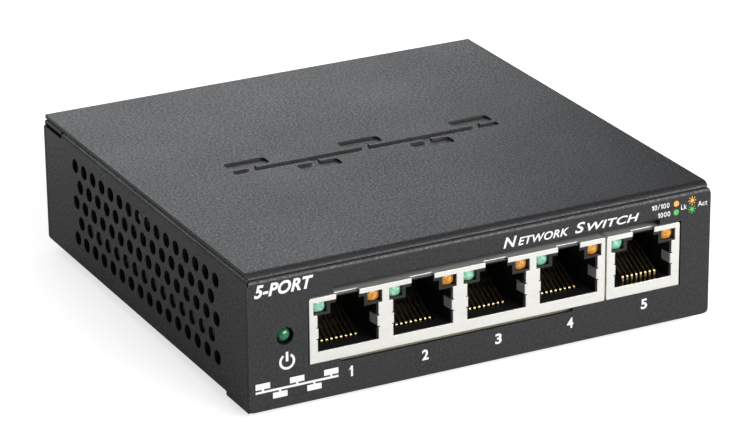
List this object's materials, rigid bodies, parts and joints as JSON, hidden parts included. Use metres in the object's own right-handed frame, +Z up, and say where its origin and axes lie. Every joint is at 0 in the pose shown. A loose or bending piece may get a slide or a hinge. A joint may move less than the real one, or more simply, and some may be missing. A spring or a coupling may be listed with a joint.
{
  "type": "desktop network switch",
  "caption": "Small desktop network switch: charcoal folded steel case with side vents, a row of modular ports with link lamps, lift-off cover and its circuit board inside.",
  "frame": {"origin": "centre of the footprint, on the plane that the rubber feet stand on", "axes": "+X to the right seen from the front, -Y out of the front panel with the ports, +Z up"},
  "size_m": [0.1, 0.0998, 0.0295],
  "materials": {
    "case_paint": "fine-grained charcoal powder coat",
    "zinc_plate": "plain zinc plate",
    "nickel_plate": "nickel plate",
    "brass_plate": "yellow passivated",
    "green_board": "glass-fibre board with solder mask",
    "tinned_shield": "matte tin plate",
    "black_plastic": "moulded",
    "gold_contact": "gold flash",
    "green_lens": "milky tinted resin",
    "amber_lens": "milky tinted resin",
    "power_lens": "tinted resin",
    "chip_resin": "moulded epoxy",
    "thermal_rubber": "soft filled silicone",
    "anodised_sink": "clear anodised",
    "crystal_can": "drawn can",
    "capacitor_sleeve": "shrunk sleeve",
    "ferrite": "pressed ferrite",
    "foot_rubber": "soft moulded"
  },
  "bodies": {
    "case": {"base_tray": "case_paint", "ground_screw": "brass_plate", "circuit_board": "green_board", "board_standoffs": "nickel_plate", "board_screws": "nickel_plate", "port_shield_1_to_4": "tinned_shield", "port_shield_5": "tinned_shield", "port_housing_1_to_4": "black_plastic", "port_housing_5": "black_plastic", "link_lamp_green_1": "green_lens", "link_lamp_green_2": "green_lens", "link_lamp_green_3": "green_lens", "link_lamp_green_4": "green_lens", "link_lamp_green_5": "green_lens", "link_lamp_amber_1": "amber_lens", "link_lamp_amber_2": "amber_lens", "link_lamp_amber_3": "amber_lens", "link_lamp_amber_4": "amber_lens", "link_lamp_amber_5": "amber_lens", "power_lamp": "power_lens", "power_lamp_holder": "black_plastic", "jack_housing": "black_plastic", "jack_pin": "nickel_plate", "port_transformer_1": "chip_resin", "port_transformer_2": "chip_resin", "port_transformer_3": "chip_resin", "port_transformer_4": "chip_resin", "port_transformer_5": "chip_resin", "switch_chip": "chip_resin", "thermal_pad": "thermal_rubber", "heat_sink": "anodised_sink", "crystal": "crystal_can", "input_capacitor": "capacitor_sleeve", "output_capacitor": "capacitor_sleeve", "power_inductor": "ferrite", "power_regulator": "chip_resin", "settings_memory": "chip_resin", "rubber_foot_1": "foot_rubber", "rubber_foot_2": "foot_rubber", "rubber_foot_3": "foot_rubber", "rubber_foot_4": "foot_rubber"},
    "cover": {"top_cover": "case_paint", "cover_bracket_left": "zinc_plate", "cover_bracket_right": "zinc_plate", "cover_screws": "nickel_plate"},
    "contacts_1": {"port_contacts_1": "gold_contact"},
    "contacts_2": {"port_contacts_2": "gold_contact"},
    "contacts_3": {"port_contacts_3": "gold_contact"},
    "contacts_4": {"port_contacts_4": "gold_contact"},
    "contacts_5": {"port_contacts_5": "gold_contact"},
    "inlet_spring": {"jack_spring": "gold_contact"}
  },
  "joints": [
    {"name": "cover_lift", "type": "slide", "parent": "case", "child": "cover", "axis": [0, 0, 1], "range_m": [0, 0.045]},
    {"name": "contacts_1_flex", "type": "hinge", "parent": "case", "child": "contacts_1", "pos_m": [-0.0294, -0.04535, 0.0114], "axis": [-1, 0, 0], "range_deg": [0, 10], "stiffness_Nm_per_rad": 0.3},
    {"name": "contacts_2_flex", "type": "hinge", "parent": "case", "child": "contacts_2", "pos_m": [-0.01355, -0.04535, 0.0114], "axis": [-1, 0, 0], "range_deg": [0, 10], "stiffness_Nm_per_rad": 0.3},
    {"name": "contacts_3_flex", "type": "hinge", "parent": "case", "child": "contacts_3", "pos_m": [0.0023, -0.04535, 0.0114], "axis": [-1, 0, 0], "range_deg": [0, 10], "stiffness_Nm_per_rad": 0.3},
    {"name": "contacts_4_flex", "type": "hinge", "parent": "case", "child": "contacts_4", "pos_m": [0.01815, -0.04535, 0.0114], "axis": [-1, 0, 0], "range_deg": [0, 10], "stiffness_Nm_per_rad": 0.3},
    {"name": "contacts_5_flex", "type": "hinge", "parent": "case", "child": "contacts_5", "pos_m": [0.0348, -0.04785, 0.0124], "axis": [-1, 0, 0], "range_deg": [0, 10], "stiffness_Nm_per_rad": 0.3},
    {"name": "jack_spring_flex", "type": "hinge", "parent": "case", "child": "inlet_spring", "pos_m": [0.022, 0.03715, 0.012], "axis": [-1, 0, 0], "range_deg": [0, 3], "stiffness_Nm_per_rad": 0.5}
  ]
}
